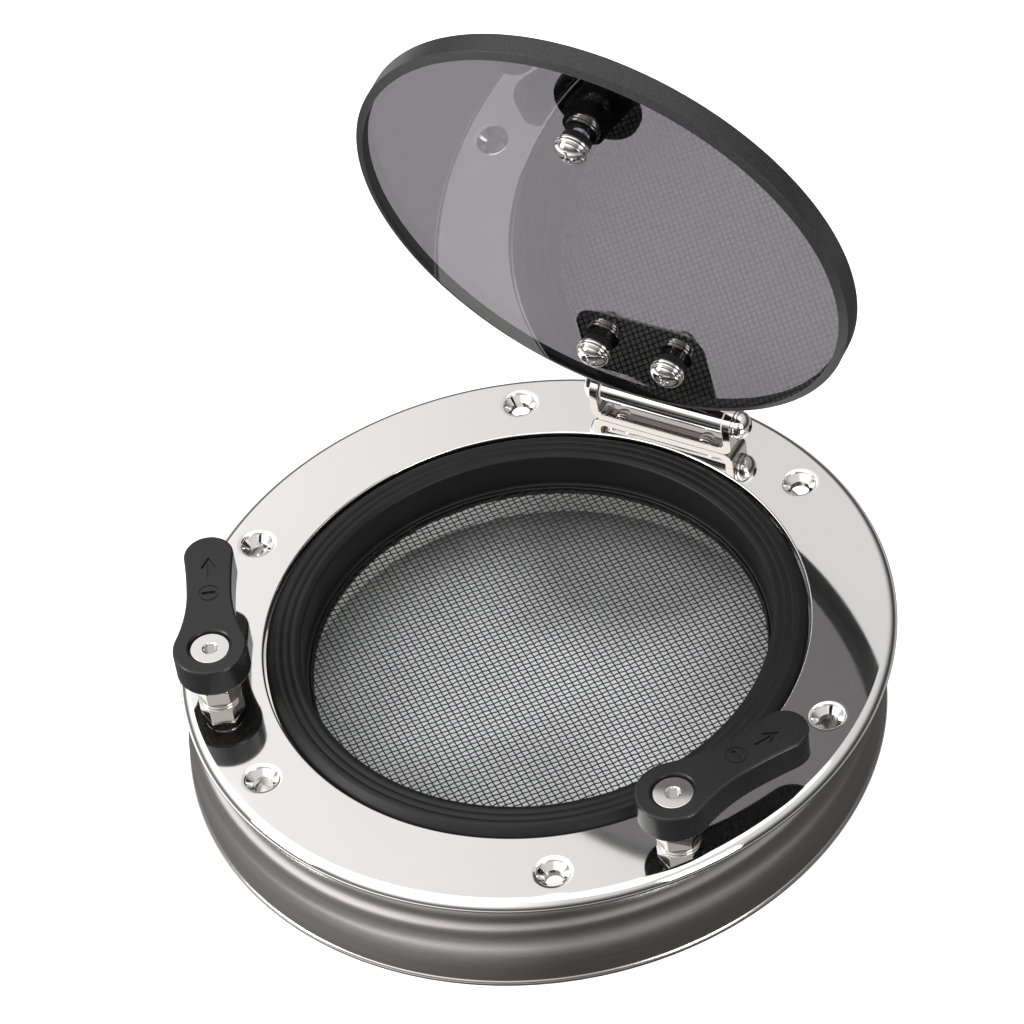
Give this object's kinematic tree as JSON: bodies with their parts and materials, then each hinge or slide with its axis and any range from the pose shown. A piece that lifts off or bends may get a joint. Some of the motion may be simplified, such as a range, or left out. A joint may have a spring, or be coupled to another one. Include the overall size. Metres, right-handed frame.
{
  "type": "opening portlight",
  "caption": "Round opening portlight for a boat: polished flange, hinged smoked-glass lid, swinging dog levers, ribbed seal, insect screen and trim ring.",
  "frame": {"origin": "centre of the flange's mounting face, on the axis of the six fixing holes", "axes": "+Z points into the room, away from the wall; +Y points from the centre to the hinge; +X is to the right with the hinge at the far side"},
  "size_m": [0.242, 0.2405, 0.2396],
  "materials": {
    "polished_steel": "mirror-polished stainless steel",
    "satin_steel": "satin, brushed round the ring",
    "black_rubber": "matt moulded rubber",
    "black_plastic": "matt",
    "lever_plastic": "satin, fine moulded grain",
    "screen_mesh": "black coated woven wire, open between the wires",
    "nylon": "natural nylon",
    "smoked_glass": "grey toughened glass, polished faces, ground edge"
  },
  "bodies": {
    "root": {"frame": "polished_steel", "trim_ring": "satin_steel", "seal": "black_rubber", "screen_ring": "black_plastic", "screen_mesh": "screen_mesh", "screen_spline": "black_rubber", "hinge_bracket": "polished_steel", "bracket_rivets": "polished_steel", "hinge_pin": "polished_steel", "hinge_pin_washer": "polished_steel", "hinge_pin_nut": "polished_steel", "dog_stud_left": "polished_steel", "dog_nut_left": "polished_steel", "dog_lock_nut_left": "polished_steel", "dog_washer_left": "polished_steel", "dog_stud_right": "polished_steel", "dog_nut_right": "polished_steel", "dog_lock_nut_right": "polished_steel", "dog_washer_right": "polished_steel"},
    "lid": {"glass": "smoked_glass", "hinge_pad": "black_rubber", "lid_leaf": "polished_steel", "hinge_bushes": "nylon", "lid_hinge_screws": "polished_steel", "lid_hinge_washers": "polished_steel", "lid_hinge_gaskets": "black_rubber", "lid_hinge_nuts": "polished_steel", "knob": "lever_plastic", "knob_screw": "polished_steel", "knob_washer": "polished_steel", "knob_gasket": "black_rubber"},
    "left_dog": {"dog_lever_left": "lever_plastic", "dog_screw_left": "polished_steel", "dog_bush_left": "polished_steel"},
    "right_dog": {"dog_lever_right": "lever_plastic", "dog_screw_right": "polished_steel", "dog_bush_right": "polished_steel"}
  },
  "joints": [
    {"name": "lid_hinge", "type": "hinge", "parent": "root", "child": "lid", "pos_m": [0, 0.101, 0.0155], "axis": [1, 0, 0], "range_deg": [-90, 80.7]},
    {"name": "left_dog_turn", "type": "hinge", "parent": "root", "child": "left_dog", "pos_m": [-0.08489, -0.06514, 0.0174], "axis": [0, 0, 1], "range_deg": [-82.6, 25]},
    {"name": "right_dog_turn", "type": "hinge", "parent": "root", "child": "right_dog", "pos_m": [0.08489, -0.06514, 0.0174], "axis": [0, 0, 1], "range_deg": [-25, 83.1]}
  ]
}
